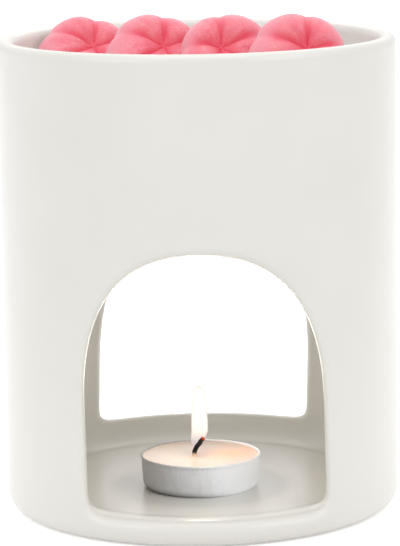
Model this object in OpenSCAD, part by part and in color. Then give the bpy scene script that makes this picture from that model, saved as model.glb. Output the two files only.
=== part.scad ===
// Wax melt warmer: a glazed ceramic drum with a dish in its top, a candle chamber under the
// dish with an arched opening at the front and at the back, a tea light, and four blossom
// shaped wax melts lying in the dish. Millimetres, +Z up, the front faces -Y, and the origin
// is the middle of the base, on the table.

/* [Ceramic body] */
// Outside diameter of the drum
body_d = 124; // [118:1:140]
// Height of the drum from the table to the top of its rim
body_h = 148.5; // [140:0.5:175]
// Thickness of the drum's wall
wall_t = 5; // [4:0.25:6]
// Radius of the outside corner where the wall meets the base
base_corner_r = 5.4; // [3:0.2:7]
// Height of the chamber's floor above the table
floor_h = 7; // [6:0.25:8]
// Radius of the cove between the chamber's floor and its wall
floor_cove_r = 8; // [4:0.5:9]
// Radius of the cove between the chamber's wall and its ceiling
ceiling_cove_r = 8; // [4:0.5:12]
// Diameter of the shallow recess inside the foot ring, under the base
foot_recess_d = 98; // [80:1:102]
// Depth of that recess
foot_recess_depth = 1.4; // [0.6:0.1:2]

/* [Dish] */
// Depth of the dish below the rim
dish_depth = 19.6; // [17:0.2:26]
// Thickness of the dish's bottom
dish_t = 5; // [4:0.25:8]
// Radius of the cove between the dish's bottom and the wall
dish_cove_r = 12; // [6:0.5:13]

/* [Front arch] */
// Widest width of the front arch
arch_w = 72.4; // [60:0.2:80]
// Height above the table at which it is widest
arch_widest_h = 39; // [30:1:45]
// Height of the arch's crown above the table
arch_crown_h = 88.8; // [75:0.2:100]
// Height of the front sill above the table
arch_sill_h = 8.5; // [8.1:0.1:10]
// Angle at which the arch leans to the right, less than 0 to the left
arch_lean_a = -1.1; // [-2:0.1:2]

/* [Back opening] */
// Widest width of the back opening
back_w = 69.4; // [50:0.2:74]
// Height above the table at which it is widest
back_widest_h = 34; // [28:1:45]
// Height of the back opening's crown above the table
back_crown_h = 86; // [70:0.2:96]
// Height of the back sill above the table
back_sill_h = 14.6; // [12:0.1:18]
// Angle at which the back opening leans to the right, as seen from the front
back_lean_a = 1.7; // [-2:0.1:2]

/* [Both openings] */
// Sideways place of both openings
opening_x = 0.7; // [-2:0.1:2]
// Power of the outline above the widest height, where 2 is an ellipse
head_power = 2.4; // [2:0.1:4]
// Power of the outline below the widest height, where more is squarer
foot_power = 16; // [4:0.5:20]

/* [Tea light cup] */
// Outside diameter of the cup at its rim
cup_rim_d = 38; // [36:0.2:40]
// Outside diameter of the cup's wall where it meets the bottom corner
cup_base_d = 36.4; // [34:0.2:36.8]
// Height of the cup
cup_h = 10.4; // [9:0.2:16]
// Thickness of the cup's sheet metal
cup_t = 0.4; // [0.3:0.05:0.6]
// Outside radius of the cup's bottom corner
cup_corner_r = 2.2; // [1.2:0.1:3]
// Width by which the rim's curled bead stands out from the wall
cup_bead = 0.35; // [0.2:0.05:0.6]
// Sideways place of the tea light on the floor
cup_x = -0.8; // [-4:0.2:4]
// Place of the tea light on the floor, from back to front
cup_y = -10; // [-12:0.5:6]

/* [Candle wax and wick] */
// Distance from the cup's rim down to the wax
wax_below_rim = 1.3; // [0.8:0.1:3]
// Height that the wax climbs at the cup's wall
wax_meniscus = 0.5; // [0.2:0.1:0.6]
// Gap that the wax leaves to the cup as it shrinks
wax_gap = 0.05; // [0.03:0.01:0.1]
// Diameter of the wick
wick_d = 1.6; // [1.2:0.1:2]
// Sideways place of the wick in the cup
wick_x = -1.8; // [-3:0.2:3]
// Height of the wick's upright stretch above the wax
wick_stub = 1.6; // [0.2:0.1:2]
// Radius of the bend where the wick starts to lean
wick_bend_r = 2; // [1.2:0.1:4]
// Length of the wick's leaning stretch
wick_lean_l = 4.4; // [2:0.2:6]
// Angle at which the burnt end leans to the right
wick_lean_a = 35; // [5:1:50]
// Diameter of the sheet metal disc that holds the wick
sustainer_d = 13; // [10:0.5:16]
// Thickness of that disc
sustainer_t = 0.3; // [0.2:0.05:0.5]
// Height of the crimped collar on the disc
collar_h = 3; // [2:0.2:4]
// Thickness of the collar's wall
collar_t = 0.45; // [0.3:0.05:0.6]

/* [Wax melts] */
// Diameter of a melt across its petals
melt_d = 31.2; // [28:0.2:31.6]
// Height of a melt's dome above its flat back
melt_h = 9.5; // [8:0.1:10]
// Number of petals
melt_petals = 5; // [4:1:7]
// Depth of the notch between two petals, as a share of the radius
melt_notch = 0.07; // [0.02:0.01:0.12]
// Depth of the crease between two petals, as a share of the dome's height
melt_crease = 0.26; // [0.1:0.02:0.36]
// Depth of the hollow at a melt's heart, as a share of the dome's height
melt_hollow = 0.52; // [0.3:0.02:0.6]
// Distance of the heart from the melt's middle, each way
melt_heart = 2.2; // [0:0.1:3]
// Gap between a melt's lowest petal and the dish
melt_seat_gap = 0.3; // [0.2:0.05:0.4]
// Room between the first or last melt and the dish's wall, as seen from above
melt_wall_gap = 0.7; // [0.6:0.1:2]
// Direction in which the first melt lies, round the dish
melt_first_a = 150.4; // [149:0.1:152]
// Direction in which the last melt lies
melt_last_a = -40.9; // [-43:0.1:-39]
// Share of the way from the first melt to the last at which the second lies
melt_2_along = 0.346; // [0.33:0.002:0.36]
// How far the second melt lies in front of that line
melt_2_front = 0.8; // [0:0.1:2]
// Share of the way at which the third melt lies
melt_3_along = 0.682; // [0.67:0.002:0.69]
// How far the third melt lies in front of that line
melt_3_front = 0; // [0:0.1:2]

/* [Hidden] */

// Segments of a full round
round_fn = 160;
// How far a cutting shape runs past what it cuts
cut_over = 1;

body_r = body_d / 2;
inner_r = body_r - wall_t;
lip_r = wall_t / 2;
dish_floor_h = body_h - dish_depth;
ceiling_h = dish_floor_h - dish_t;

cup_rim_r = cup_rim_d / 2 - cup_bead;
cup_base_r = cup_base_d / 2;
wax_level = cup_h - wax_below_rim;
wick_r = wick_d / 2;
collar_r = wick_r + collar_t;
// Sides of the wick, and steps round its bend
wick_sides = 12;
wick_bend_steps = 4;

// Angle of the first crease of a melt, and points round and rings up one petal dome
melt_first_crease = 84;
melt_sides = 40;
melt_rings = 8;
// Steepness of the dome's edge and roundness of its top
melt_edge_power = 3.2;
melt_top_power = 0.55;
// Roundness of a petal across its width, and of its outer edge
petal_arch_power = 2.6;
petal_edge_power = 0.7;
// Width of the hollow at the heart, as a share of the radius
melt_hollow_w = 0.3;

// One row for each melt: its share of the way from the first to the last, how far it lies in
// front of that line, how far it leans back from lying flat, how far it turns to the right,
// how far it is spun on its own axis, and whether its petals turn the other way
melt_rows = [
    [0, 0, 42, 10, -12, false],
    [melt_2_along, melt_2_front, 49, 11, -8, false],
    [melt_3_along, melt_3_front, 53, 6, 2, true],
    [1, 0, 57, 6, -6, false]
];

// Points of an arc round c from angle a0 to angle a1
function arc(c, r, a0, a1, n = 10) =
    [for (i = [0:n]) let (a = a0 + (a1 - a0) * i / n) c + r * [cos(a), sin(a)]];

// A number raised to a power with its sign kept
function signed_pow(v, p) = sign(v) * pow(abs(v), p);

// Right half of an opening's outline round its widest height, from the sill up to the crown
function opening_side(w, sill_drop, crown_rise, n = 22) =
    [for (i = [0:n])
        let (
            a = -90 + 180 * i / n,
            head = a > 0,
            p = 2 / (head ? head_power : foot_power)
        )
        [w / 2 * pow(abs(cos(a)), p), (head ? crown_rise : sill_drop) * signed_pow(sin(a), p)]];

// The whole outline of an opening, seen from the front and leaning at angle lean
function opening_outline(w, sill, widest, crown, lean) =
    let (
        side = opening_side(w, widest - sill, crown - widest),
        last = len(side) - 1,
        both = concat(side, [for (i = [last - 1:-1:1]) [-side[i][0], side[i][1]]])
    )
    [for (p = both) [opening_x + p[0] + p[1] * tan(lean), widest + p[1]]];

// Outline of the drum's half section, filled
function drum_section() = concat(
    [[0, 0]],
    arc([body_r - base_corner_r, base_corner_r], base_corner_r, -90, 0),
    arc([body_r - lip_r, body_h - lip_r], lip_r, 0, 180, 16),
    [[0, body_h - lip_r]]
);

// Outline of the candle chamber's half section
function chamber_section() = concat(
    [[0, floor_h]],
    arc([inner_r - floor_cove_r, floor_h + floor_cove_r], floor_cove_r, -90, 0),
    arc([inner_r - ceiling_cove_r, ceiling_h - ceiling_cove_r], ceiling_cove_r, 0, 90),
    [[0, ceiling_h]]
);

// Outline of the dish's half section, open at the top
function dish_section() = concat(
    [[0, dish_floor_h]],
    arc([inner_r - dish_cove_r, dish_floor_h + dish_cove_r], dish_cove_r, -90, 0, 14),
    [[inner_r, body_h + cut_over], [0, body_h + cut_over]]
);

// A cut of the given outline through the front of the wall, from the middle outwards
module opening_cut(outline) {
    rotate([90, 0, 0])
        linear_extrude(height = body_r + cut_over)
            polygon(outline);
}

module ceramic_body() {
    color([0.91, 0.9, 0.87])
        difference() {
            rotate_extrude($fn = round_fn) polygon(drum_section());
            rotate_extrude($fn = round_fn) polygon(chamber_section());
            rotate_extrude($fn = round_fn) polygon(dish_section());
            translate([0, 0, -cut_over])
                cylinder(d = foot_recess_d, h = cut_over + foot_recess_depth, $fn = round_fn);
            opening_cut(opening_outline(
                arch_w, arch_sill_h, arch_widest_h, arch_crown_h, arch_lean_a));
            mirror([0, 1, 0])
                opening_cut(opening_outline(
                    back_w, back_sill_h, back_widest_h, back_crown_h, back_lean_a));
        }
}

// Places its children on the chamber's floor, in the middle of the tea light
module at_tealight() {
    translate([cup_x, cup_y, floor_h]) children();
}

// Radius of the cup's outside at height z above its bottom corner
function cup_outer_r(z) = cup_base_r + (cup_rim_r - cup_base_r) * z / cup_h;

// Half section of the cup, or of what fills it, drawn in by t from its outside
function cup_section(t, top) = concat(
    [[0, t]],
    arc([cup_base_r - cup_corner_r, cup_corner_r], cup_corner_r - t, -90, -8, 8),
    [[cup_outer_r(top) - t, top], [0, top]]
);

module tealight_cup() {
    color([0.78, 0.79, 0.8])
        at_tealight()
            difference() {
                union() {
                    rotate_extrude($fn = round_fn) polygon(cup_section(0, cup_h));
                    translate([0, 0, cup_h - cup_bead])
                        rotate_extrude($fn = round_fn)
                            translate([cup_rim_r, 0]) circle(r = cup_bead, $fn = 20);
                }
                rotate_extrude($fn = round_fn) polygon(cup_section(cup_t, cup_h + cup_bead));
            }
}

// The wax fills the cup, climbs a little at its wall, and leaves room for wick and collar
module tealight_wax() {
    edge_r = cup_outer_r(wax_level) - cup_t - wax_gap;
    color([0.99, 0.9, 0.8])
        at_tealight()
            difference() {
                rotate_extrude($fn = round_fn)
                    intersection() {
                        polygon(cup_section(cup_t + wax_gap, cup_h + cup_bead));
                        polygon(concat(
                            [[0, 0], [cup_rim_r, 0], [cup_rim_r, wax_level + wax_meniscus]],
                            [[edge_r, wax_level + wax_meniscus]],
                            arc([edge_r - wax_meniscus, wax_level + wax_meniscus],
                                wax_meniscus, 0, -90, 5),
                            [[0, wax_level]]
                        ));
                    }
                translate([wick_x, 0, 0]) {
                    translate([0, 0, -cut_over])
                        cylinder(d = sustainer_d, h = cut_over + cup_t + sustainer_t, $fn = 64);
                    translate([0, 0, -cut_over])
                        cylinder(r = collar_r, h = cut_over + cup_t + sustainer_t + collar_h, $fn = 40);
                    cylinder(r = wick_r, h = cup_h + cut_over, $fn = 32);
                }
            }
}

module wick_sustainer() {
    color([0.7, 0.7, 0.71])
        at_tealight()
            translate([wick_x, 0, cup_t])
                difference() {
                    union() {
                        cylinder(d = sustainer_d, h = sustainer_t, $fn = 64);
                        cylinder(r = collar_r, h = sustainer_t + collar_h, $fn = 40);
                    }
                    translate([0, 0, sustainer_t])
                        cylinder(r = wick_r, h = collar_h + cut_over, $fn = 32);
                }
}

// The wick's rings from its foot in the collar to its burnt tip: how far each lies to the
// right, its height in the cup, and how far it leans
function wick_rings() =
    let (
        foot = cup_t + sustainer_t,
        bend = wax_level + wick_stub,
        turn = [for (i = [0:wick_bend_steps])
            let (a = wick_lean_a * i / wick_bend_steps)
            [wick_bend_r * (1 - cos(a)), bend + wick_bend_r * sin(a), a]],
        end = turn[wick_bend_steps]
    )
    concat(
        [[0, foot, 0]],
        turn,
        [end + wick_lean_l * [sin(wick_lean_a), cos(wick_lean_a), 0]]
    );

// The wick stands in its collar, rises out of the wax, bends and leans to the right
module tealight_wick() {
    rings = wick_rings();
    n = wick_sides;
    top = (len(rings) - 1) * n;
    points = [for (g = rings, k = [0:n - 1])
        let (a = 360 * k / n, side = wick_r * cos(a))
        [g[0] + side * cos(g[2]), wick_r * sin(a), g[1] - side * sin(g[2])]];
    faces = concat(
        [for (j = [0:len(rings) - 2], k = [0:n - 1])
            let (a = j * n + k, b = j * n + (k + 1) % n)
            each [[a, b + n, b], [a, a + n, b + n]]],
        [[for (k = [0:n - 1]) k], [for (k = [n - 1:-1:0]) top + k]]
    );
    color([0.16, 0.12, 0.11])
        at_tealight()
            translate([wick_x, 0, 0])
                polyhedron(points = points, faces = faces, convexity = 2);
}

// Place of angle a within its petal, from 0 at one crease to 1 at the next
function petal_place(a) =
    let (t = (a - melt_first_crease) * melt_petals / 360) t - floor(t);

// How far a petal stands up at angle a, from 0 in a crease to 1 along its middle
function petal_arch(a) = 1 - pow(abs(2 * petal_place(a) - 1), petal_arch_power);

// Radius of a melt's outline at angle a
function melt_outline_r(a) =
    melt_d / 2 * (1 - melt_notch + melt_notch * pow(petal_arch(a), petal_edge_power));

// Height of the petal dome at share s of the way out and at angle a
function melt_dome(s, a) =
    let (
        dome = melt_h * pow(1 - pow(s, melt_edge_power), melt_top_power),
        groove = 1 - melt_crease * (1 - petal_arch(a)) * pow(sin(180 * pow(s, 0.8)), 0.8),
        heart = 1 - melt_hollow * exp(-pow(s / melt_hollow_w, 2))
    )
    dome * groove * heart;

// Angle of side i of a melt, and share of the way out of ring j, closer near the edge
function side_angle(i) = 360 * i / melt_sides;
function ring_share(j) = 1 - pow(1 - j / melt_rings, 1.5);

// A point of the dome: rings run from the heart, which lies off the middle, to the outline
function melt_point(j, i) =
    let (
        s = ring_share(j),
        a = side_angle(i),
        flat = (1 - s) * [melt_heart, melt_heart] + s * melt_outline_r(a) * [cos(a), sin(a)]
    )
    [flat[0], flat[1], j == melt_rings ? 0 : melt_dome(s, a)];

// One melt lying on its flat back at the origin
module blossom() {
    n = melt_sides;
    points = concat(
        [[melt_heart, melt_heart, melt_dome(0, 0)]],
        [for (j = [1:melt_rings], i = [0:n - 1]) melt_point(j, i)],
        [[0, 0, 0]]
    );
    last = len(points) - 1;
    rim = 1 + (melt_rings - 1) * n;
    faces = concat(
        [for (i = [0:n - 1]) [0, 1 + (i + 1) % n, 1 + i]],
        [for (j = [0:melt_rings - 2], i = [0:n - 1])
            let (a = 1 + j * n, b = a + n, k = (i + 1) % n)
            each [[a + i, b + k, b + i], [a + i, a + k, b + k]]],
        [for (i = [0:n - 1]) [rim + i, rim + (i + 1) % n, last]]
    );
    polyhedron(points = points, faces = faces, convexity = 4);
}

// Place of a melt's middle in the dish, as seen from above
function melt_place(row) =
    let (
        reach = inner_r - melt_d / 2 - melt_wall_gap,
        first = reach * [cos(melt_first_a), sin(melt_first_a)],
        last = reach * [cos(melt_last_a), sin(melt_last_a)],
        line = (last - first) / norm(last - first)
    )
    first + row[0] * (last - first) + row[1] * [line[1], -line[0]];

// Height of the dish's surface above its flat middle, at distance r from the axis
function dish_rise(r) =
    let (out = max(0, min(r - inner_r + dish_cove_r, dish_cove_r)))
    dish_cove_r - sqrt(dish_cove_r * dish_cove_r - out * out);

// Height of a leaning melt's middle above the dish's flat middle, with no petal in the dish
function melt_rise(row) =
    let (place = melt_place(row))
    max([for (i = [0:melt_sides - 1])
        let (
            a = row[4] + (row[5] ? 180 - side_angle(i) : side_angle(i)),
            x = melt_outline_r(side_angle(i)) * cos(a),
            y = melt_outline_r(side_angle(i)) * sin(a),
            turned = [x * cos(row[3]) - y * cos(row[2]) * sin(row[3]),
                      x * sin(row[3]) + y * cos(row[2]) * cos(row[3])]
        )
        dish_rise(norm(place + turned)) - y * sin(row[2])]);

module wax_melt(row) {
    place = melt_place(row);
    color([0.96, 0.47, 0.55])
        translate([place[0], place[1], dish_floor_h + melt_seat_gap + melt_rise(row)])
            rotate([0, 0, row[3]])
                rotate([row[2], 0, 0])
                    rotate([0, 0, row[4]])
                        mirror([row[5] ? 1 : 0, 0, 0])
                            blossom();
}

module wax_melt_1() { wax_melt(melt_rows[0]); }
module wax_melt_2() { wax_melt(melt_rows[1]); }
module wax_melt_3() { wax_melt(melt_rows[2]); }
module wax_melt_4() { wax_melt(melt_rows[3]); }

ceramic_body();
tealight_cup();
tealight_wax();
wick_sustainer();
tealight_wick();
wax_melt_1();
wax_melt_2();
wax_melt_3();
wax_melt_4();
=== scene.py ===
# %% [markdown]
# # A ceramic wax melt warmer
# A glazed drum holds a dish of scented wax melts over a candle chamber. This lesson dresses the
# packed solids of that drum as the real thing: soft glazed edges, a pressed tea light cup, wax,
# a charred wick with its flame, and four sugary blossom shaped melts.

import math

import bpy
import numpy as np
from mathutils import Matrix, Quaternion, Vector


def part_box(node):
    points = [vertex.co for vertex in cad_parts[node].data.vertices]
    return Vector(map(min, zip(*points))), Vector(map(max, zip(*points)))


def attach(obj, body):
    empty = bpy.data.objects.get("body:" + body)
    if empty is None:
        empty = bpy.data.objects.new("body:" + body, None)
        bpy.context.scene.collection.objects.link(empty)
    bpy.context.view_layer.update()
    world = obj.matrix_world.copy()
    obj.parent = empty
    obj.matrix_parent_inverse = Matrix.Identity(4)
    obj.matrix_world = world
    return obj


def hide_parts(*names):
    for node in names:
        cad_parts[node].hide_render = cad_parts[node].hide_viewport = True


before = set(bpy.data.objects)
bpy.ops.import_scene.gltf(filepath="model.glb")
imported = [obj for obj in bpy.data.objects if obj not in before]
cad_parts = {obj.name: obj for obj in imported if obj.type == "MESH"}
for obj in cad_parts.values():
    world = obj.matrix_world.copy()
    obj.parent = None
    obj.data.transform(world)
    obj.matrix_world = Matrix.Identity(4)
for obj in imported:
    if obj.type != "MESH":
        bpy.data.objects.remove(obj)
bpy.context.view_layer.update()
MM = 0.001

# %% [markdown]
# ## From lists of points to a piece
# Every shape below ends as a list of points in millimetres and a list of faces. One helper turns
# such lists into an object in metres, shades it smooth and lets it ride on the body it belongs
# to. Rings of points are joined by squares, either as a closed tube, or as an outline that is
# turned round an axis, as a potter's wheel or a spinning lathe does.

# %% Making a piece
def make_piece(name, points, faces, body, material):
    """An object in metres from points in millimetres, riding on its body."""
    mesh = bpy.data.meshes.new(name)
    mesh.from_pydata((np.asarray(points, float) * MM).tolist(), [], faces)
    mesh.validate()
    mesh.shade_smooth()
    mesh.materials.append(material)
    piece = bpy.data.objects.new(name, mesh)
    bpy.context.scene.collection.objects.link(piece)
    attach(piece, body)
    print(f"{name}: {len(mesh.vertices)} points, {len(mesh.polygons)} faces")
    return piece


def store(piece, name, values):
    """Keeps one number for each point, which a material can read by its name."""
    layer = piece.data.attributes.new(name, "FLOAT", "POINT")
    layer.data.foreach_set("value", np.asarray(values, np.float32))


# %% Joining rings of points
def ring_faces(rings, sides):
    """Squares between rings that follow one after the other, each with as many points."""
    faces = []
    for j in range(rings - 1):
        for i in range(sides):
            a, b = j * sides + i, j * sides + (i + 1) % sides
            faces.append((a, b, b + sides, a + sides))
    return faces


def tube_faces(rings, sides):
    """The same squares, and one flat face at either end."""
    last = (rings - 1) * sides
    return ring_faces(rings, sides) + [tuple(range(sides))[::-1], tuple(range(last, last + sides))]


def turn(outline, sides, centre):
    """Turns an outline of (radius, height) pairs round the upright line through centre."""
    angles = np.arange(sides) * 2 * math.pi / sides
    rings = [(r, z) for r, z in outline if r > 1e-6]
    points = [
        (centre[0] + r * math.cos(a), centre[1] + r * math.sin(a), centre[2] + z)
        for r, z in rings
        for a in angles
    ]
    faces = ring_faces(len(rings), sides)
    points.append((centre[0], centre[1], centre[2] + outline[0][1]))
    faces += [(len(points) - 1, (i + 1) % sides, i) for i in range(sides)]
    top = (len(rings) - 1) * sides
    points.append((centre[0], centre[1], centre[2] + outline[-1][1]))
    faces += [(len(points) - 1, top + i, top + (i + 1) % sides) for i in range(sides)]
    return np.array(points), faces


def arc(centre, radius, start, end, steps):
    """Points on an arc of an outline, with its angles in degrees."""
    angles = np.radians(np.linspace(start, end, steps))
    return [(centre[0] + radius * math.cos(a), centre[1] + radius * math.sin(a)) for a in angles]


print("faces of a tube of 3 rings with 4 points each:", len(tube_faces(3, 4)))

# %% [markdown]
# ## The camera
# The picture was taken with a long lens from almost a metre away, ten degrees above level, with
# the camera turned by just under a degree. A long lens keeps the drum's sides nearly parallel.
# The camera stands on that spot and looks at the drum's middle, and then takes the small turn.
# Distances here are in metres, as everywhere in Blender, and the lens is in millimetres.

# %% Placing the camera
VIEW_DISTANCE = 0.9
VIEW_RISE = math.radians(10.01)
VIEW_ROLL = math.radians(-0.93)
LENS_MM, SENSOR_MM = 256.3, 36
# The camera's place is measured from this height, and it looks at a spot just below it
ORBIT_HEIGHT = 0.074
AIM = Vector((0, 0, 0.0733))

lens = bpy.data.cameras.new("camera")
lens.sensor_fit = "HORIZONTAL"
lens.sensor_width = SENSOR_MM
lens.lens = LENS_MM
lens.clip_end = 20
camera = bpy.data.objects.new("camera", lens)
bpy.context.scene.collection.objects.link(camera)
camera.location = (
    0,
    -VIEW_DISTANCE * math.cos(VIEW_RISE),
    ORBIT_HEIGHT + VIEW_DISTANCE * math.sin(VIEW_RISE),
)
camera.rotation_mode = "QUATERNION"
looking = (AIM - camera.location).to_track_quat("-Z", "Y")
camera.rotation_quaternion = looking @ Quaternion((0, 0, 1), VIEW_ROLL)
bpy.context.scene.camera = camera
bpy.context.scene.view_settings.view_transform = "Standard"
print("camera at", [round(v, 4) for v in camera.location])

# %% [markdown]
# ## Soft studio light
# Pale ceramic shows its form only by soft changes of tone, so the light is nearly even: a pale
# sky all round, and wide lamps at both sides in front, above and behind. The backdrop is white
# only for the camera and for rays that come by a mirror or through glass, so it adds no light
# to the object.

# %% Sky
def node_for(tree, kind, **settings):
    """A new node with its inputs or its own settings filled in by name."""
    node = tree.nodes.new(kind)
    for key, value in settings.items():
        if key in node.inputs:
            node.inputs[key].default_value = value
        else:
            setattr(node, key.lower(), value)
    return node


def seen_by(tree, *kinds):
    """A number that is 1 for rays of these kinds and 0 for all others."""
    ray = node_for(tree, "ShaderNodeLightPath")
    share = ray.outputs[kinds[0]]
    for kind in kinds[1:]:
        either = node_for(tree, "ShaderNodeMath", operation="MAXIMUM")
        tree.links.new(share, either.inputs[0])
        tree.links.new(ray.outputs[kind], either.inputs[1])
        share = either.outputs[0]
    return share


SKY_LIGHT = 0.68
sky = bpy.data.worlds.new("studio sky")
sky.use_nodes = True
bpy.context.scene.world = sky
tree = sky.node_tree
tree.nodes.clear()
seen = seen_by(tree, "Is Camera Ray", "Is Glossy Ray", "Is Transmission Ray")
lit = node_for(tree, "ShaderNodeBackground", Color=(1, 0.995, 0.985, 1), Strength=SKY_LIGHT)
white = node_for(tree, "ShaderNodeBackground", Color=(1, 1, 1, 1), Strength=1.0)
pick = node_for(tree, "ShaderNodeMixShader")
out = node_for(tree, "ShaderNodeOutputWorld")
tree.links.new(seen, pick.inputs[0])
tree.links.new(lit.outputs[0], pick.inputs[1])
tree.links.new(white.outputs[0], pick.inputs[2])
tree.links.new(pick.outputs[0], out.inputs[0])
print("sky at", SKY_LIGHT, "with", len(tree.nodes), "nodes")

# %% Wide lamps
LAMP_WIDTH = 1.0
LAMP_AIM = Vector((0, 0, 0.07))
# Place in metres, and power in watts
LAMPS = {
    "wide lamp right": ((1.2, -0.95, 0.95), 4.7),
    "wide lamp left": ((-1.2, -0.95, 0.95), 4.5),
    "wide lamp above": ((0.0, -0.1, 1.5), 4.1),
    "wide lamp behind": ((0.0, 1.2, 1.0), 2.6),
}
for name, (place, watts) in LAMPS.items():
    data = bpy.data.lights.new(name, "AREA")
    data.shape = "SQUARE"
    data.size = LAMP_WIDTH
    data.energy = watts
    lamp = bpy.data.objects.new(name, data)
    bpy.context.scene.collection.objects.link(lamp)
    lamp.location = place
    lamp.rotation_mode = "QUATERNION"
    lamp.rotation_quaternion = (LAMP_AIM - lamp.location).to_track_quat("-Z", "Y")
print("wide lamps:", len(LAMPS), "with", round(sum(watts for _, watts in LAMPS.values()), 1), "W")

# %% [markdown]
# ## The candle's own light
# A burning candle lights its chamber too. A small warm lamp stands where the flame will be. It
# rides on the tea light, so the light comes along when the tea light is taken out.

# %% Candle light
CANDLE_PLACE = (-0.0006, -0.01, 0.037)
CANDLE_WATTS = 0.0175
candle_light = bpy.data.lights.new("candle light", "POINT")
candle_light.energy = CANDLE_WATTS
candle_light.color = (1, 0.87, 0.72)
candle_light.shadow_soft_size = 0.003
candle_light.specular_factor = 0.25
candle = bpy.data.objects.new("candle light", candle_light)
bpy.context.scene.collection.objects.link(candle)
candle.location = CANDLE_PLACE
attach(candle, "tealight")

# %% [markdown]
# ## The pale floor
# The warmer stands on white. The floor is one large sheet with a pale colour of its own. A
# little glow that only the camera and mirrors see lifts it to full white, so that it lights
# nothing and still carries the soft shadow at the foot of the drum.

# %% Floor
def ink(red, green, blue):
    """A colour picked on a screen, 0 to 255, as the linear colour that shaders take."""
    def linear(v):
        v /= 255
        return v / 12.92 if v <= 0.04045 else ((v + 0.055) / 1.055) ** 2.4
    return (linear(red), linear(green), linear(blue), 1)


FLOOR_WHITE = ink(246, 246, 245)
FLOOR_LIFT = 0.47
FLOOR_REACH = 4.0
FLOOR_DROP = 0.0001
floor_paint = bpy.data.materials.new("pale floor")
floor_paint.use_nodes = True
tree = floor_paint.node_tree
base = tree.nodes["Principled BSDF"]
base.inputs["Base Color"].default_value = FLOOR_WHITE
base.inputs["Roughness"].default_value = 0.9
base.inputs["Specular IOR Level"].default_value = 0.1
glow = node_for(tree, "ShaderNodeEmission", Color=(1, 1, 1, 1))
lift = node_for(tree, "ShaderNodeMath", operation="MULTIPLY")
lift.inputs[1].default_value = FLOOR_LIFT
join = node_for(tree, "ShaderNodeAddShader")
tree.links.new(seen_by(tree, "Is Camera Ray", "Is Glossy Ray"), lift.inputs[0])
tree.links.new(lift.outputs[0], glow.inputs["Strength"])
tree.links.new(base.outputs[0], join.inputs[0])
tree.links.new(glow.outputs[0], join.inputs[1])
tree.links.new(join.outputs[0], tree.nodes["Material Output"].inputs[0])

sheet = bpy.data.meshes.new("floor")
corners = [(-1, -1), (1, -1), (1, 1), (-1, 1)]
sheet.from_pydata([(FLOOR_REACH * x, FLOOR_REACH * y, 0) for x, y in corners], [], [(0, 1, 2, 3)])
sheet.materials.append(floor_paint)
floor = bpy.data.objects.new("floor", sheet)
bpy.context.scene.collection.objects.link(floor)
floor.location.z = -FLOOR_DROP
print("floor", 2 * FLOOR_REACH, "m wide, colour", [round(v, 3) for v in FLOOR_WHITE[:3]])

# %% [markdown]
# ## Building blocks for finishes
# A finish is a small graph of nodes. Some blocks come back in nearly all of them: noise that is
# fixed to the object and moves with it, a ramp that turns a number into a colour, a mix of two
# colours, and a bump that turns a number into fine relief. Naming them once keeps each finish
# short. What is the same all over, such as one plain colour, is set straight on the shader.

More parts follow.
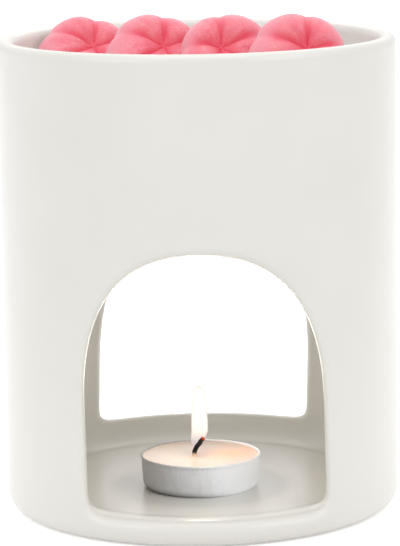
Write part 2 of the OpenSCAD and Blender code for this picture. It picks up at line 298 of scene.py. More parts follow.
# %% Blocks for finishes
class Finish:
    """A material that starts from one Principled shader."""

    def __init__(self, name, **uniform):
        self.material = bpy.data.materials.new(name)
        self.material.use_nodes = True
        self.tree = self.material.node_tree
        self.shader = self.tree.nodes["Principled BSDF"]
        for key, value in uniform.items():
            self.shader.inputs[key.replace("_", " ")].default_value = value
        self.place = self.tree.nodes.new("ShaderNodeTexCoord").outputs["Object"]

    def link(self, start, end):
        self.tree.links.new(start, end)

    def noise(self, cell_mm, detail=3.0, stretch=None):
        """Noise whose cells measure about cell_mm, as a number from 0 to 1."""
        node = self.tree.nodes.new("ShaderNodeTexNoise")
        node.inputs["Scale"].default_value = 1000.0 / cell_mm
        node.inputs["Detail"].default_value = detail
        source = self.place
        if stretch:
            scale = self.tree.nodes.new("ShaderNodeMapping")
            scale.inputs["Scale"].default_value = stretch
            self.link(source, scale.inputs["Vector"])
            source = scale.outputs["Vector"]
        self.link(source, node.inputs["Vector"])
        return node.outputs["Fac"]

    def grains(self, cell_mm):
        """Distance to the middle of the nearest grain, for grains about cell_mm apart."""
        node = self.tree.nodes.new("ShaderNodeTexVoronoi")
        node.inputs["Scale"].default_value = 1000.0 / cell_mm
        self.link(self.place, node.inputs["Vector"])
        return node.outputs["Distance"]

    def stored(self, name):
        """A number that the mesh keeps for each point."""
        node = self.tree.nodes.new("ShaderNodeAttribute")
        node.attribute_name = name
        return node.outputs["Fac"]

    def axis(self, which):
        """One coordinate of the object, in metres."""
        node = self.tree.nodes.new("ShaderNodeSeparateXYZ")
        self.link(self.place, node.inputs[0])
        return node.outputs[which]

    def span(self, value, low, high, to_low=0.0, to_high=1.0):
        """Stretches the part of a number between low and high to a new range."""
        node = self.tree.nodes.new("ShaderNodeMapRange")
        node.interpolation_type = "SMOOTHSTEP"
        for key, number in zip(("From Min", "From Max", "To Min", "To Max"),
                               (low, high, to_low, to_high)):
            node.inputs[key].default_value = number
        self.link(value, node.inputs["Value"])
        return node.outputs["Result"]

    def ramp(self, value, *stops):
        """Turns a number into a colour; each stop is (place, colour)."""
        node = self.tree.nodes.new("ShaderNodeValToRGB")
        while len(node.color_ramp.elements) < len(stops):
            node.color_ramp.elements.new(0.5)
        for element, (place, colour) in zip(node.color_ramp.elements, stops):
            element.position, element.color = place, colour
        self.link(value, node.inputs["Fac"])
        return node.outputs["Color"]

    def mix(self, share, first, second):
        """Mixes two colours; each may be a fixed colour or the output of another block."""
        node = self.tree.nodes.new("ShaderNodeMix")
        node.data_type = "RGBA"
        for value, socket in ((share, node.inputs[0]), (first, node.inputs[6]),
                              (second, node.inputs[7])):
            if isinstance(value, (tuple, float, int)):
                socket.default_value = value
            else:
                self.link(value, socket)
        return node.outputs[2]

    def sum(self, first, second, how="ADD"):
        """Adds two numbers, or takes them together in another way, such as their product."""
        node = self.tree.nodes.new("ShaderNodeMath")
        node.operation = how
        for value, socket in ((first, node.inputs[0]), (second, node.inputs[1])):
            if isinstance(value, (float, int)):
                socket.default_value = value
            else:
                self.link(value, socket)
        return node.outputs[0]

    def bump(self, height, depth_mm, under=None):
        """Fine relief that is depth_mm deep where height goes from 0 to 1."""
        node = self.tree.nodes.new("ShaderNodeBump")
        node.inputs["Strength"].default_value = 1.0
        node.inputs["Distance"].default_value = depth_mm * MM
        self.link(height, node.inputs["Height"])
        if under is not None:
            self.link(under, node.inputs["Normal"])
        return node.outputs["Normal"]

    def into(self, socket, output):
        self.link(output, self.shader.inputs[socket])


print("blocks:", [name for name in vars(Finish) if not name.startswith("_")])

# %% [markdown]
# ## The glaze
# The body is slip-cast stoneware under an opaque warm white glaze. Such a glaze is glass over
# clay: smooth but never perfectly level, a touch warmer where it lies thin over edges, with a
# rare iron speck. A ring on the chamber's floor, where the cove starts, is a touch darker: glaze
# pools there, and painted shade adds to it. The foot ring is wiped bare before firing, so the pot
# doesn't stick to the kiln shelf, and shows pale matt clay.
# Colour, roughness and relief each get their own noise.

# %% Glaze finish
glaze = Finish("warm white glaze", IOR=1.5, Coat_Weight=0.2, Coat_Roughness=0.2)
clouds = glaze.noise(38.0, 2.0)
body_white = glaze.ramp(clouds, (0.3, ink(230, 229, 224)), (0.7, ink(234, 233, 229)))
warm_foot = glaze.span(glaze.axis("Z"), 0.0, 0.09, 1.0, 0.0)
toned = glaze.mix(warm_foot, body_white, ink(236, 234, 229))
thin_edge = glaze.span(glaze.stored("edge"), 0.15, 0.9, 0.0, 0.55)
toned = glaze.mix(thin_edge, toned, ink(240, 237, 229))
# A darker ring where the floor meets its cove: glaze pooling there, and painted shade.
pooled = glaze.span(glaze.stored("pool"), 0.0, 1.0, 0.0, 0.5)
toned = glaze.mix(pooled, toned, ink(214, 211, 203))
speck = glaze.span(glaze.grains(24.0), 0.006, 0.014, 0.12, 0.0)
toned = glaze.mix(speck, toned, ink(176, 160, 140))
bare = glaze.stored("bare_clay")
clay_grain = glaze.noise(0.5, 4.0)
clay = glaze.ramp(clay_grain, (0.3, ink(214, 203, 186)), (0.7, ink(228, 219, 204)))
toned = glaze.mix(bare, toned, clay)
glaze.into("Base Color", toned)
gloss = glaze.sum(glaze.sum(glaze.noise(9.0, 2.0), 0.06, "MULTIPLY"), 0.28)
gloss = glaze.sum(gloss, glaze.sum(bare, 0.5, "MULTIPLY"))
glaze.into("Roughness", gloss)
ripple = glaze.bump(glaze.noise(16.0, 1.0), 0.05)
peel = glaze.bump(glaze.noise(1.6, 2.0), 0.004, ripple)
glaze.into("Normal", glaze.bump(glaze.sum(clay_grain, bare, "MULTIPLY"), 0.05, peel))
print("glaze nodes:", len(glaze.tree.nodes))

# %% [markdown]
# ## The ceramic body as a distance field
# A cast pot has no sharp edge: the mould, the wet sponge and the glaze round each one. Bevels
# could do that, but where an arch cuts a round wall they often break. Another way is to write
# down how far any point is from the clay. Simple shapes have simple distances, and cutting one
# from another can round the edge it leaves by a chosen radius. All sizes are in millimetres.

# %% Sizes of the body
BODY_R, BODY_H, INNER_R = 62.0, 148.5, 57.0
BASE_CORNER, LIP, FLOOR, COVE, CEILING = 5.4, 2.5, 7.0, 8.0, 123.9
DISH_FLOOR, DISH_COVE = 128.9, 12.0
FOOT_R, FOOT_DEPTH = 49.0, 1.4
# Both openings are cut from outside to this far from the middle, and lie a little to the right
OPENING_INNER_Y, OPENING_X = 34.0, 0.7
# Powers of their outline over and under its widest height: 2 is an ellipse, 16 nearly square
HEAD_POWER, FOOT_POWER = 2.4, 16.0
# Width, sill, widest height, crown, and lean to the right in degrees
FRONT = (72.4, 8.5, 39.0, 88.8, -1.1)
BACK = (69.4, 14.6, 34.0, 86.0, 1.7)
OUTER_SOFT, INNER_SOFT, FOOT_SOFT = 3.4, 1.2, 0.6
# Heights well above and well below the body, for holes that run out of it
ABOVE, BELOW = 400.0, -60.0
print("wall", BODY_R - INNER_R, "mm, dish", round(BODY_H - DISH_FLOOR, 1), "mm deep")


# %% Distances
def rounded_section(r, z, reach, low, high, low_corner, high_corner):
    """Distance to a turned shape with rounded corners; below 0 is inside it."""
    middle, half = (low + high) / 2, (high - low) / 2
    corner = np.where(z > middle, high_corner, low_corner)
    across, up = r - reach + corner, np.abs(z - middle) - half + corner
    outside = np.hypot(np.maximum(across, 0), np.maximum(up, 0))
    return outside + np.minimum(np.maximum(across, up), 0) - corner


def arch_outline(x, z, width, sill, widest, crown, lean):
    """Distance to an opening's outline, seen from the front; below 0 is in the opening."""
    above = z > widest
    power = np.where(above, HEAD_POWER, FOOT_POWER)
    rise = np.where(above, crown - widest, widest - sill)
    middle = OPENING_X + (z - widest) * math.tan(math.radians(lean))
    u, w = np.abs(x - middle) / (width / 2), np.abs(z - widest) / rise
    total = np.maximum(u**power + w**power, 1e-9)
    level = total ** (1 / power)
    slope = level / total * np.hypot(u ** (power - 1) / (width / 2), w ** (power - 1) / rise)
    return (level - 1) / np.maximum(slope, 1e-3)


def cut(solid, hole, soft):
    """Takes a hole out of a solid and rounds the edge that this leaves."""
    a, b = solid + soft, soft - hole
    return np.hypot(np.maximum(a, 0), np.maximum(b, 0)) + np.minimum(np.maximum(a, b), 0) - soft


def clay_distance(p):
    """Distance from points to the clay; below 0 is inside it."""
    x, y, z = p[:, 0], p[:, 1], p[:, 2]
    r = np.hypot(x, y)
    clay = rounded_section(r, z, BODY_R, 0.0, BODY_H, BASE_CORNER, LIP)
    clay = cut(clay, rounded_section(r, z, INNER_R, DISH_FLOOR, ABOVE, DISH_COVE, 0.0), LIP)
    foot = rounded_section(r, z, FOOT_R, BELOW, FOOT_DEPTH, 0.0, FOOT_SOFT)
    clay = cut(clay, foot, FOOT_SOFT)
    front = np.maximum(arch_outline(x, z, *FRONT), y + OPENING_INNER_Y)
    back = np.maximum(arch_outline(x, z, *BACK), OPENING_INNER_Y - y)
    clay = cut(clay, np.minimum(front, back), OUTER_SOFT)
    return cut(clay, rounded_section(r, z, INNER_R, FLOOR, CEILING, COVE, COVE), INNER_SOFT)


def clay_slope(p, step=0.01):
    """Direction in which the distance grows, which is the way the surface faces."""
    slope = np.empty_like(p)
    for axis in range(3):
        aside = np.zeros(3)
        aside[axis] = step
        slope[:, axis] = (clay_distance(p + aside) - clay_distance(p - aside)) / (2 * step)
    return slope


wall_middle = np.array([[(BODY_R + INNER_R) / 2, 0.0, CEILING / 2]])
print("deepest in the wall, mm:", round(float(clay_distance(wall_middle)[0]), 2))

# %% [markdown]
# ## From the packed solid to a soft skin
# The packed solid already has the right pieces in the right places. Its copy is remeshed into
# even small squares, and then each point slides along the distance field onto the soft surface.
# In between, points are evened out along the surface, so the squares stay regular.

# %% Remeshing the body
def remeshed_copy(source, voxel_mm):
    """Points in millimetres and faces of a solid's copy, remeshed into even squares."""
    copy = bpy.data.objects.new("remesh work", source.data.copy())
    bpy.context.scene.collection.objects.link(copy)
    modifier = copy.modifiers.new("even squares", "REMESH")
    modifier.mode = "VOXEL"
    modifier.voxel_size = voxel_mm * MM
    evaluated = copy.evaluated_get(bpy.context.evaluated_depsgraph_get())
    mesh = evaluated.to_mesh()
    points = np.empty(len(mesh.vertices) * 3)
    mesh.vertices.foreach_get("co", points)
    faces = [tuple(face.vertices) for face in mesh.polygons]
    evaluated.to_mesh_clear()
    bpy.data.objects.remove(copy)
    return points.reshape(-1, 3) / MM, faces


def neighbours(faces, count):
    """Pairs of points that share an edge, and how many such pairs each point is in."""
    pairs = {(min(a, b), max(a, b)) for f in faces for a, b in zip(f, f[1:] + f[:1])}
    pairs = np.array(list(pairs))
    return pairs, np.bincount(pairs.ravel(), minlength=count)


def settle(points, rounds, least_slope=0.2):
    """Slides points along the distance field until they lie on the surface."""
    for _ in range(rounds):
        slope = clay_slope(points)
        size = np.maximum((slope**2).sum(1), least_slope)
        points = points - slope * (clay_distance(points) / size)[:, None]
    return points


def even_out(points, pairs, counts, share=0.6):
    """Moves each point towards the middle of its neighbours, but only along the surface."""
    middle = np.zeros_like(points)
    for axis in range(3):
        middle[:, axis] = np.bincount(
            pairs[:, 0], points[pairs[:, 1], axis], len(points)
        ) + np.bincount(pairs[:, 1], points[pairs[:, 0], axis], len(points))
    step = middle / counts[:, None] - points
    facing = clay_slope(points)
    facing /= np.linalg.norm(facing, axis=1, keepdims=True)
    return points + share * (step - facing * (step * facing).sum(1, keepdims=True))


# %% The soft skin
BODY_VOXEL = 1.1
skin, skin_faces = remeshed_copy(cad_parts["ceramic_body"], BODY_VOXEL)
pairs, counts = neighbours(skin_faces, len(skin))
skin = settle(skin, 6)
for _ in range(4):
    skin = settle(even_out(skin, pairs, counts), 3)
print("body points:", len(skin), "furthest off the skin, mm:",
      round(float(np.abs(clay_distance(skin)).max()), 4))

# %% [markdown]
# ## Dressing the body
# The way each point faces is known exactly from the distance field, so it is stored with the
# mesh, and the gloss runs over the wall without a ripple from the squares. Three numbers go with
# each point for the finish: how near it is to a rounded edge, how near to the ring on the
# chamber's floor where glaze pools and shade is painted, and whether the clay is bare.

# %% The glazed body
EDGE_BAND, POOL_SHADE_BAND = 1.6, 1.3
# The edges of both openings lie further from the middle than this; the rest counts as far off
ARCH_EDGE_Y, FAR = 40, 99
body = make_piece("glazed_body", skin, skin_faces, "warmer", glaze.material)
facing = clay_slope(skin)
facing /= np.linalg.norm(facing, axis=1, keepdims=True)
body.data.normals_split_custom_set_from_vertices(facing.tolist())
radius = np.hypot(skin[:, 0], skin[:, 1])
front = np.abs(arch_outline(skin[:, 0], skin[:, 2], *FRONT)) + FAR * (skin[:, 1] > -ARCH_EDGE_Y)
back = np.abs(arch_outline(skin[:, 0], skin[:, 2], *BACK)) + FAR * (skin[:, 1] < ARCH_EDGE_Y)
wall_side = np.minimum(np.abs(radius - BODY_R), np.abs(radius - INNER_R))
near_arch = np.maximum(np.minimum(front, back), wall_side)
near_lip = np.maximum(BODY_H - skin[:, 2], 0) + 0.3
store(body, "edge", np.clip(1.2 - np.minimum(near_arch, near_lip) / EDGE_BAND, 0, 1))
# The ring of pooled glaze and painted shade lies where the floor starts to rise into its cove.
cove_start = INNER_R - COVE
on_floor = np.abs(skin[:, 2] - FLOOR) < 1.5
ring = np.exp(-(((radius - cove_start) / POOL_SHADE_BAND) ** 2)) * on_floor
store(body, "pool", ring)
store(body, "bare_clay", ((skin[:, 2] < 0.25) & (facing[:, 2] < -0.9)).astype(float))
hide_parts("ceramic_body")

# %% [markdown]
# ## The tea light cup
# A tea light's cup is pressed from thin aluminium sheet. Its rim is curled over for strength, its
# foot has a rounded corner, and the bottom is pressed up a little. It is turned here as one thin
# closed outline, with the wall of the packed solid. Small waves low on the wall are where the
# flat sheet had too much metal and gathered as it was pressed. The foil is satin. Its colour
# holds painted reflection and shade: near white at the right and greyer at the left, with a
# painted shadow darkest at the foot there, and a painted glow brightens the right side. They are
# painted along the object's own axes and stay the same in any light.

# %% Cup finish
# The emission colour is that of the painted glow on the cup's right side.
foil = Finish("pressed foil", Metallic=0.35, Emission_Color=ink(236, 240, 246))
brushed = foil.noise(0.9, 3.0, stretch=(1.0, 1.0, 0.4))
# Painted reflection and shade: the foil is near white at the right and greyer towards the left.
painted_shade_left = foil.span(foil.axis("X"), -0.02, 0.012, 1.0, 0.0)
tone = foil.mix(painted_shade_left, ink(247, 249, 252), ink(194, 194, 196))
# Painted shadow: the lower left of the foil turns dark near its foot.
painted_foot_shadow = foil.sum(foil.span(foil.axis("Z"), 0.0072, 0.0096, 0.75, 0.0), painted_shade_left, "MULTIPLY")
tone = foil.mix(painted_foot_shadow, tone, ink(92, 86, 80))
streaks = foil.span(brushed, 0.3, 0.7, 0.1, 0.0)
foil.into("Base Color", foil.mix(streaks, tone, ink(120, 122, 125)))
foil.into("Roughness", foil.span(foil.noise(3.0, 3.0), 0.25, 0.75, 0.42, 0.52))
# Painted glow: the right side of the foil gives off a little light of its own.
painted_glow_right = foil.span(foil.axis("X"), -0.004, 0.014, 0.0, 0.26)
foil.into("Emission Strength", painted_glow_right)
dents = foil.bump(foil.noise(6.0, 2.0), 0.04)
foil.into("Normal", foil.bump(brushed, 0.003, dents))
print("foil nodes:", len(foil.tree.nodes))

# %% Cup
TEALIGHT = np.array([-0.8, -10.0, FLOOR])
CUP_H, CUP_T, BEAD = 10.4, 0.4, 0.35
BASE_R, RIM_R, CUP_CORNER = 18.2, 18.65, 2.2
PRESSED_UP, PRESSED_R = 0.22, 13.6
CUP_SIDES = 240
GATHERS, GATHER_DEPTH, GATHER_AT, GATHER_BAND = 46, 0.05, 2.6, 1.5


def cup_radius(z):
    """The cup widens evenly from its base to its rim."""
    return BASE_R + (RIM_R - BASE_R) * z / CUP_H


outline = [(0, PRESSED_UP), (PRESSED_R, PRESSED_UP)]
outline += [(PRESSED_R + 0.5, PRESSED_UP - 0.06), (PRESSED_R + 0.9, 0.0)]
outline += arc((BASE_R - CUP_CORNER, CUP_CORNER), CUP_CORNER, -90, -4, 12)
outline += [(cup_radius(z), z) for z in np.linspace(2.9, 9.3, 12)]
bead = (RIM_R - 0.02, CUP_H - BEAD)
outline += arc(bead, BEAD, -62, 205, 16)
outline += [(cup_radius(z) - CUP_T, z) for z in np.linspace(9.4, 2.6, 10)]
outline += arc((BASE_R - CUP_CORNER, CUP_CORNER), CUP_CORNER - CUP_T, -6, -90, 10)
outline += [(14.0, CUP_T), (0, CUP_T)]
points, faces = turn(outline, CUP_SIDES, TEALIGHT)
flat = points[:, :2] - TEALIGHT[:2]
around = np.arctan2(flat[:, 1], flat[:, 0])
height = points[:, 2] - TEALIGHT[2]
reach = np.hypot(*flat.T)
gather = np.exp(-(((height - GATHER_AT) / GATHER_BAND) ** 2)) * (reach > 16.5)
wave = np.sin(around * GATHERS + 1.3 * np.sin(around * 5)) - 1
outward = flat / np.maximum(reach, 1)[:, None]
points[:, :2] += outward * (GATHER_DEPTH * wave * gather)[:, None]
cup = make_piece("pressed_cup", points, faces, "tealight", foil.material)
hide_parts("tealight_cup")

# %% [markdown]
# ## The candle's wax
# Paraffin lets light in and scatters it, so it looks soft and glows near the flame. The surface
# is level where it was poured, climbs a little at the cup, sinks slightly where it has melted
# round the wick, and stands up as a small collar on the wick itself. The glow is painted with a
# number for each point that falls off with the distance from a spot to the right of the wick.

# %% Wax finish
paraffin = Finish("candle wax", Roughness=0.34, IOR=1.44, Subsurface_Weight=0.3,
                  Subsurface_Scale=0.002, Subsurface_Radius=(1.0, 0.6, 0.35))
warmth = paraffin.stored("warmth")
mottle = paraffin.noise(2.4, 3.0)
pale = paraffin.ramp(mottle, (0.3, ink(252, 232, 221)), (0.7, ink(255, 238, 230)))
# Painted glow of the flame's light: near the glow spot the wax turns orange, and all of it gives
# off a little light.
paraffin.into("Base Color", paraffin.mix(warmth, pale, ink(255, 192, 152)))
paraffin.into("Emission Color", paraffin.mix(warmth, ink(255, 226, 200), ink(255, 178, 122)))
paraffin.into("Emission Strength", paraffin.span(warmth, 0.0, 1.0, 0.06, 0.2))
paraffin.into("Normal", paraffin.bump(mottle, 0.03))
print("paraffin nodes:", len(paraffin.tree.nodes))

# %% Wax
WAX_LEVEL = CUP_H - 1.3
WICK = np.array([-1.8, 0.0])
CLIMB_WIDE, CLIMB_HIGH = 0.9, 0.8
COLLAR_HIGH, HOLLOW_DEEP = 0.9, 0.22
GLOW_SPOT, GLOW_REACH, GLOW_MOST = np.array([10.5, 3.5]), [9.5, 9.0], 0.85
WAX_SIDES = 144
wax_edge = cup_radius(WAX_LEVEL) - CUP_T - 0.02
rings = [(0, WAX_LEVEL)] + [(wax_edge * s, WAX_LEVEL) for s in np.linspace(0.03, 0.955, 34)]
rings += [(wax_edge + CLIMB_WIDE * (math.sin(a) - 1), WAX_LEVEL + CLIMB_HIGH * (1 - math.cos(a)))
          for a in np.radians(np.linspace(15, 88, 7))]
rings += [(cup_radius(z) - CUP_T - 0.03, z) for z in (8.4, 6.0, 3.0)]
rings += [(16.6, 0.75), (14.0, 0.46), (0, 0.46)]
points, faces = turn(rings[::-1], WAX_SIDES, TEALIGHT)
flat = points[:, :2] - TEALIGHT[:2]
away = np.hypot(*(flat - WICK).T)
on_top = points[:, 2] > TEALIGHT[2] + WAX_LEVEL - 0.1
rise = COLLAR_HIGH * np.exp(-((away / 1.25) ** 2)) - HOLLOW_DEEP * np.exp(-((away / 7.5) ** 2))
points[:, 2] += rise * on_top
wax = make_piece("poured_wax", points, faces, "tealight", paraffin.material)
glow = GLOW_MOST * np.exp(-(np.hypot(*((flat - GLOW_SPOT) / GLOW_REACH).T) ** 2))
store(wax, "warmth", np.clip(glow, 0, 1) * on_top)
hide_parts("tealight_wax")

# %% [markdown]
# ## The sustainer
# A small tinned disc with a crimped collar keeps the wick upright when the wax is liquid. It
# sits under the wax, and its solid is right as it is, so it only gets a tin finish.

# %% Sustainer finish
tin = Finish("bright tin", Metallic=1.0)
scuff = tin.noise(0.7, 3.0)
tin.into("Base Color", tin.ramp(scuff, (0.3, ink(186, 187, 190)), (0.7, ink(214, 214, 214))))
tin.into("Roughness", tin.span(scuff, 0.2, 0.8, 0.22, 0.42))
tin.into("Normal", tin.bump(scuff, 0.01))
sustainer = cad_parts["wick_sustainer"]
sustainer.data.materials.clear()
sustainer.data.materials.append(tin.material)
print("sustainer faces:", len(sustainer.data.polygons))

# %% [markdown]
# ## The wick
# The wick is a braided cotton cord. Where it burns it is charcoal black and stiff, it curls over
# to one side, and its tip glows. The lowest millimetre above the wax is still pale with wax. The
# cord is a ring of points swept along a bent line, and three soft ridges that turn as they climb
# stand for the braid.

# %% Wick finish
cord = Finish("charred cotton", Roughness=0.9, Sheen_Weight=0.05)
along = cord.stored("along")
fibre = cord.noise(0.22, 3.0, stretch=(1.0, 1.0, 0.4))
char = cord.ramp(fibre, (0.35, ink(10, 8, 8)), (0.75, ink(36, 28, 26)))
waxed = cord.ramp(fibre, (0.3, ink(226, 196, 168)), (0.7, ink(246, 224, 200)))
cord.into("Base Color", cord.mix(cord.span(along, 0.1, 0.24), waxed, char))
ember = cord.span(along, 0.84, 0.99)
ember_patch = cord.sum(ember, cord.span(fibre, 0.3, 0.65, 0.45, 1.0), "MULTIPLY")
cord.into("Emission Color", cord.ramp(ember, (0.0, ink(190, 20, 6)), (1.0, ink(255, 104, 44))))
cord.into("Emission Strength", cord.sum(ember_patch, 0.9, "MULTIPLY"))
cord.into("Normal", cord.bump(fibre, 0.08))
print("cord nodes:", len(cord.tree.nodes))

# %% Wick
WICK_R, BEND_R, LEAN, LEAN_L, STUB = 0.8, 2.0, 35.0, 4.4, 1.6
# The braid's waist between its ridges, as a share of the radius, and its rounded tip
WAIST, TIP = 0.94, 0.35
SPOKES = 30


def wick_line(t):
    """Point and lean of the wick's middle line, t mm above the wax."""
    bend = math.radians(LEAN) * BEND_R
    if t < STUB:
        return 0.0, WAX_LEVEL + t, 0.0
    a = min(t - STUB, bend) / BEND_R
    x, z = BEND_R * (1 - math.cos(a)), WAX_LEVEL + STUB + BEND_R * math.sin(a)
    rest = max(0.0, t - STUB - bend)
    return x + rest * math.sin(a), z + rest * math.cos(a), a


WICK_LENGTH = STUB + math.radians(LEAN) * BEND_R + LEAN_L
stations = np.concatenate([np.linspace(-1.0, WICK_LENGTH - TIP, 40),
                           WICK_LENGTH - TIP * (1 - np.sin(np.linspace(0.2, 1.55, 6)))])
points, along_values = [], []
for t in stations:
    x, z, lean = wick_line(t)
    dome = math.sqrt(max(0.02, 1 - max(0.0, (t - WICK_LENGTH + 0.4) / 0.4) ** 2))
    for k in range(SPOKES):
        a = 2 * math.pi * k / SPOKES
        ridge = 1 + 0.11 * math.cos(3 * (a + t * 0.9)) + 0.04 * math.sin(7 * a + t * 2.3)
        r = WICK_R * WAIST * ridge * dome
        side = r * math.cos(a)
        points.append((x + side * math.cos(lean), r * math.sin(a), z - side * math.sin(lean)))
        along_values.append(t / WICK_LENGTH)
faces = tube_faces(len(stations), SPOKES)
points = np.array(points) + TEALIGHT + [WICK[0], WICK[1], 0]
wick = make_piece("charred_wick", points, faces, "tealight", cord.material)
store(wick, "along", along_values)
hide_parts("tealight_wick")

# %% [markdown]
# ## The flame
# A candle flame is clear and bluish at its foot, nearly white in its middle, and cream at its
# edge. It isn't a solid piece, so it has no part in the packed model, but it belongs in the
# picture. Two nested shapes stand for it from every side: a cream shell, and a white core inside
# it. Both fade in from the foot up, and both are flatter from front to back.

# %% Flame finish
def flame_finish(name, heart, edge, strength, low, high, cover):
    """Light that fades in between two shares of the height, up to a cover."""
    finish = Finish(name)
    tree = finish.tree
    tree.nodes.remove(finish.shader)
    height = finish.stored("height")
    light = node_for(tree, "ShaderNodeEmission", Strength=strength)
    clear = node_for(tree, "ShaderNodeBsdfTransparent")
    blend = node_for(tree, "ShaderNodeMixShader")
    finish.link(finish.ramp(height, (0.0, ink(212, 208, 226)), (0.3, heart), (1.0, edge)),
                light.inputs["Color"])
    finish.link(finish.span(height, low, high, 0.0, cover), blend.inputs[0])
    finish.link(clear.outputs[0], blend.inputs[1])
    finish.link(light.outputs[0], blend.inputs[2])
    finish.link(blend.outputs[0], tree.nodes["Material Output"].inputs[0])
    return finish.material


core_light = flame_finish("flame core", ink(255, 244, 232), ink(255, 253, 250),
                          strength=3.0, low=0.16, high=0.42, cover=1.0)
shell_light = flame_finish("flame shell", ink(251, 230, 216), ink(249, 243, 228),
                           strength=1.0, low=0.02, high=0.25, cover=0.85)
print("flame finishes:", core_light.name, "and", shell_light.name)

# %% Flame
FLAME_FOOT = np.array([-2.7, -8.8, FLOOR + WAX_LEVEL + 1.3])
FLAME_H, FLAME_DEPTH, FLAME_DRIFT, FLAME_SIDES = 21.5, 0.7, 1.85, 48
CORE_WIDTH, CORE_INSET = 0.88, 0.7
# Radius in millimetres at each share of the height
SHAPE = [
    (0, 0.8), (0.06, 1.2), (0.11, 1.55), (0.17, 2.0), (0.23, 2.35), (0.3, 2.58), (0.4, 2.62),
    (0.5, 2.56), (0.6, 2.5), (0.71, 2.32), (0.8, 2.15), (0.87, 1.95), (0.92, 1.7),
    (0.955, 1.35), (0.98, 0.9), (0.995, 0.4), (1.0, 0.05),
]


def make_flame(name, width, foot, top, material):
    """A flame between two heights, whose radius is a share of the shape's."""
    heights = np.linspace(0, 1, 60)
    radii = np.interp(heights, *zip(*SHAPE))
    for _ in range(3):
        radii[1:-1] = (radii[:-2] + 2 * radii[1:-1] + radii[2:]) / 4
    points = []
    for t, r in zip(heights, radii):
        z = foot + (top - foot) * t
        share = z / FLAME_H
        drift = FLAME_DRIFT * min(1.0, share * 3.2) - 0.15 * share
        for k in range(FLAME_SIDES):
            a = 2 * math.pi * k / FLAME_SIDES
            x, y = width * r * math.cos(a), FLAME_DEPTH * width * r * math.sin(a)
            points.append((drift + x, y, z))
    faces = tube_faces(len(heights), FLAME_SIDES)
    points = np.array(points) + FLAME_FOOT
    piece = make_piece(name, points, faces, "tealight", material)
    store(piece, "height", np.repeat(heights, FLAME_SIDES))


make_flame("flame_shell", 1.0, 0.0, FLAME_H, shell_light)
make_flame("flame_core", CORE_WIDTH, CORE_INSET, FLAME_H - CORE_INSET, core_light)

# %% [markdown]
# ## Wax melts: the finish
# The melts are poured soy wax in a coral pink, tumbled so that a fine sugary frost sits on the
# high parts. Wax scatters light inside, which keeps its shadows rosy, never grey. Painted shade
# deepens the colour in the creases and the heart, so the crown of each petal stays lighter, and a
# painted rim light makes the outline palest. The frost adds tiny pale grains with a glint.

# %% Melt finish
melt = Finish("coral melt wax", IOR=1.45, Subsurface_Weight=0.45, Subsurface_Scale=0.004,
              Subsurface_Radius=(1.0, 0.35, 0.3), Sheen_Weight=0.12, Sheen_Roughness=0.4)
fold = melt.stored("fold")
drift = melt.noise(5.0, 3.0)
pink = melt.ramp(drift, (0.32, ink(243, 104, 126)), (0.5, ink(247, 122, 140)),
                 (0.7, ink(249, 136, 146)))
# Painted shade: the pink deepens in the creases and in the heart's hollow.
pink = melt.mix(melt.span(fold, 0.1, 1.0, 0.0, 0.8), pink, ink(239, 94, 118))
frost_drift = melt.span(melt.noise(7.0, 2.0), 0.35, 0.65, 0.25, 0.8)
frost_spread = melt.span(melt.noise(0.7, 4.0), 0.3, 0.75, 0.1, 0.6)
frost_spread = melt.sum(frost_spread, frost_drift, "MULTIPLY")
frost_spread = melt.sum(frost_spread, melt.span(fold, 0.05, 0.6, 1.0, 0.15), "MULTIPLY")
pink = melt.mix(frost_spread, pink, ink(251, 186, 194))
# Painted rim light: the pink turns pale towards the outline.
pink = melt.mix(melt.span(melt.stored("rim"), 0.5, 1.0, 0.0, 0.7), pink, ink(250, 172, 186))
grain = melt.grains(0.55)
glint = melt.span(grain, 0.1, 0.24, 0.4, 0.0)
pink = melt.mix(melt.sum(glint, frost_spread, "MULTIPLY"), pink, ink(255, 232, 232))
melt.into("Base Color", pink)
melt.into("Roughness", melt.span(melt.noise(0.9, 2.0), 0.3, 0.7, 0.38, 0.6))
pits = melt.bump(melt.noise(2.6, 3.0), 0.07)
melt.into("Normal", melt.bump(grain, 0.035, pits))
print("melt nodes:", len(melt.tree.nodes))

# %% [markdown]
# ## Wax melts: the shape
# Each melt is a flat-backed blossom with five petals round a heart that lies a little off the
# middle. A height over a round outline describes it well: a dome, less a groove at each crease,
# less a hollow at the heart. The sizes are those of the packed solids, but for a slightly smaller
# radius, which keeps the melts inside them, and for rounded creases. On top of them come the
# finer folds of a soft wax casting, which are too small for the solids.

# %% Blossom
PACKED_MELT_R, MELT_INSET = 15.6, 0.06
MELT_R = PACKED_MELT_R - MELT_INSET
MELT_H, PETALS, FIRST_CREASE = 9.5, 5, 84.0
NOTCH, CREASE, HOLLOW, HEART, CREASE_SOFT = 0.07, 0.26, 0.52, 2.2, 0.34


def petal_place(angle):
    """Where an angle lies in its petal, from 0 at one crease to 1 at the next."""
    t = (angle - FIRST_CREASE) * PETALS / 360
    return t - np.floor(t)


def petal_arch(angle):
    """How far a petal stands up: 0 in a crease, 1 along its middle, with the crease rounded."""
    sharp = 1 - np.abs(2 * petal_place(angle) - 1) ** 2.6
    most = math.hypot(1, CREASE_SOFT) - CREASE_SOFT
    return (np.hypot(sharp, CREASE_SOFT) - CREASE_SOFT) / most


def outline_radius(angle):
    """The outline's radius, which draws in at each crease."""
    return MELT_R * (1 - NOTCH + NOTCH * np.maximum(petal_arch(angle), 0) ** 0.7)


def dome_height(s, angle):
    """Height at a share s of the way from the heart to the outline."""
    dome = MELT_H * np.maximum(1 - s**3.2, 0) ** 0.55
    groove = 1 - CREASE * (1 - petal_arch(angle)) * np.sin(np.pi * s**0.8).clip(0) ** 0.8
    return dome * groove * (1 - HOLLOW * np.exp(-((s / 0.3) ** 2)))


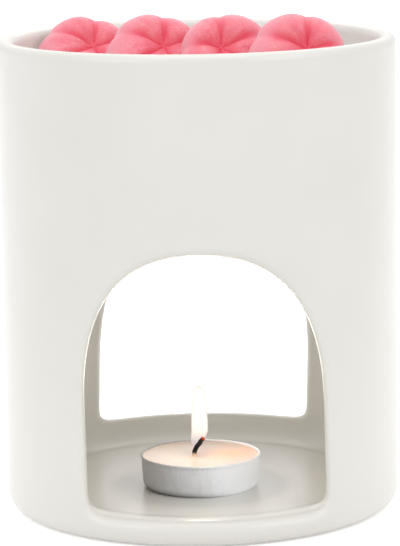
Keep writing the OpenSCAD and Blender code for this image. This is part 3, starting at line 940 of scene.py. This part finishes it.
def fine_folds(s, angle, seed):
    """Small ripples of the casting: a fold along each petal, and a soft unevenness."""
    place = petal_place(angle)
    fold = 0.32 * np.exp(-(((place - 0.62) / 0.1) ** 2)) * np.sin(np.pi * s.clip(0, 1)) ** 2
    a = np.radians(angle)
    uneven = (np.sin(3 * a + seed) * np.sin(5.1 * s + seed * 2)
              + 0.6 * np.sin(7 * a - 2 * seed + 4 * s) * s) * 0.12
    return np.minimum(uneven - 0.1 - fold, 0) * np.clip((1 - s) * 5, 0, 1)


print("melt", round(2 * MELT_R, 2), "mm across and", MELT_H, "mm high at most")

# %% Blossom mesh
def blossom(seed, sides=180, rings=54):
    """Points and faces of a melt, and its fold and rim numbers, which place painted shade and
    painted rim light in the finish.
    """
    shares = 1 - (1 - np.arange(1, rings + 1) / rings) ** 1.5
    s, angle = np.meshgrid(shares, np.arange(sides) * 360 / sides, indexing="ij")
    out_r = outline_radius(angle)
    x = (1 - s) * HEART + s * out_r * np.cos(np.radians(angle))
    y = (1 - s) * HEART + s * out_r * np.sin(np.radians(angle))
    z = dome_height(s, angle) + fine_folds(s, angle, seed)
    z[-1] = 0
    points = [(HEART, HEART, float(dome_height(np.array(0.0), np.array(0.0))))]
    points += list(zip(x.ravel(), y.ravel(), z.ravel())) + [(0, 0, 0)]
    last = len(points) - 1
    ring = 1 + (rings - 1) * sides
    faces = [(0, 1 + i, 1 + (i + 1) % sides) for i in range(sides)]
    for j in range(rings - 1):
        for i in range(sides):
            a, k = 1 + j * sides, (i + 1) % sides
            faces.append((a + i, a + sides + i, a + sides + k, a + k))
    faces += [(ring + (i + 1) % sides, ring + i, last) for i in range(sides)]
    # The fold number places painted shade in the creases and the heart; the rim number, which
    # grows towards the outline, places painted rim light.
    crease = (1 - petal_arch(angle)) ** 1.6 * np.sin(np.pi * s**0.8).clip(0) ** 0.6
    heart = np.exp(-((s / 0.2) ** 2))
    fold = np.concatenate([[1.0], np.maximum(crease, heart * 0.8).ravel(), [0.0]])
    rim = np.concatenate([[0.0], s.ravel(), [0.0]])
    return np.array(points, float), faces, fold, rim


print("faces of a melt:", len(blossom(seed=0.0)[1]))

# %% [markdown]
# ## Wax melts: leaning in the dish
# Four melts lean back one beside the other, from the back left of the dish to the front right,
# and the third lies with its petals turning the other way. Each is tilted, turned and spun by
# the angles that the picture gave, and stands on its lowest petal.

# %% Melts
WALL_GAP = 0.7
FIRST_AT, LAST_AT = math.radians(150.4), math.radians(-40.9)
# Share of the way along the row, millimetres to its front, tilt, yaw and spin, and mirrored
MELT_ROWS = {
    1: (0.0, 0.0, 42, 10, -12, False),
    2: (0.346, 0.8, 49, 11, -8, False),
    3: (0.682, 0.0, 53, 6, 2, True),
    4: (1.0, 0.0, 57, 6, -6, False),
}
row_reach = INNER_R - PACKED_MELT_R - WALL_GAP
row_start = row_reach * np.array([math.cos(FIRST_AT), math.sin(FIRST_AT)])
row_end = row_reach * np.array([math.cos(LAST_AT), math.sin(LAST_AT)])
row_line = (row_end - row_start) / np.linalg.norm(row_end - row_start)
for number, (share, ahead, tilt, yaw, spin, mirrored) in MELT_ROWS.items():
    points, faces, fold, rim = blossom(seed=number * 1.7)
    if mirrored:
        points[:, 0] *= -1
        faces = [face[::-1] for face in faces]
    turned = (Matrix.Rotation(math.radians(yaw), 3, "Z")
              @ Matrix.Rotation(math.radians(tilt), 3, "X")
              @ Matrix.Rotation(math.radians(spin), 3, "Z"))
    points = points @ np.array(turned).T
    spot = row_start + share * (row_end - row_start)
    spot = spot + ahead * np.array([row_line[1], -row_line[0]])
    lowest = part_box(f"wax_melt_{number}")[0].z / MM
    points += [spot[0], spot[1], lowest - points[:, 2].min()]
    piece = make_piece(f"coral_melt_{number}", points, faces, f"melt_{number}",
                       melt.material)
    # These numbers carry the painted crease shade and the painted rim light.
    store(piece, "fold", fold)
    store(piece, "rim", rim)
    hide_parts(f"wax_melt_{number}")

# %% [markdown]
# The dressed model must stay inside the box of the packed solids.
